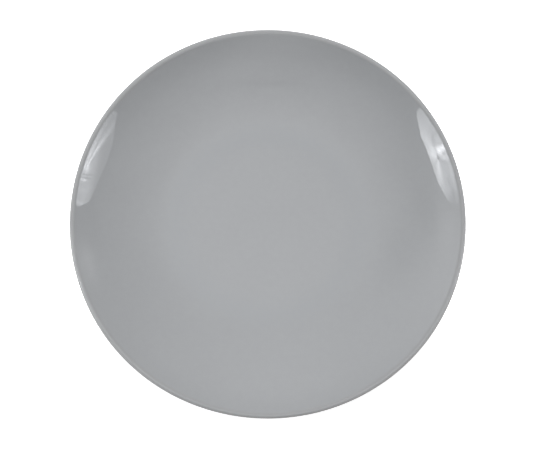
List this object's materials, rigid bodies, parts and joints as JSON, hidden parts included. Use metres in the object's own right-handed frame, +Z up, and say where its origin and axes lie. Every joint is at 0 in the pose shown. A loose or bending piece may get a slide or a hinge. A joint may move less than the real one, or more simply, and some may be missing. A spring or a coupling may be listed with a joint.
{
  "type": "round serving platter",
  "caption": "Round coupe serving platter: a shallow grey-glazed stoneware dish with a plain rounded lip, standing on a bare foot ring.",
  "frame": {"origin": "centre of the foot ring, on the surface that the platter stands on", "axes": "+Z up through the middle of the well, square to the lip; the platter is round, so X and Y are any two level directions at right angles"},
  "size_m": [0.33, 0.33, 0.0372],
  "materials": {
    "grey_glaze": "gloss glaze",
    "bare_stoneware": "matte fired clay"
  },
  "bodies": {
    "root": {"stoneware_body": "bare_stoneware", "glaze_coat": "grey_glaze", "base_glaze": "grey_glaze"}
  },
  "joints": []
}
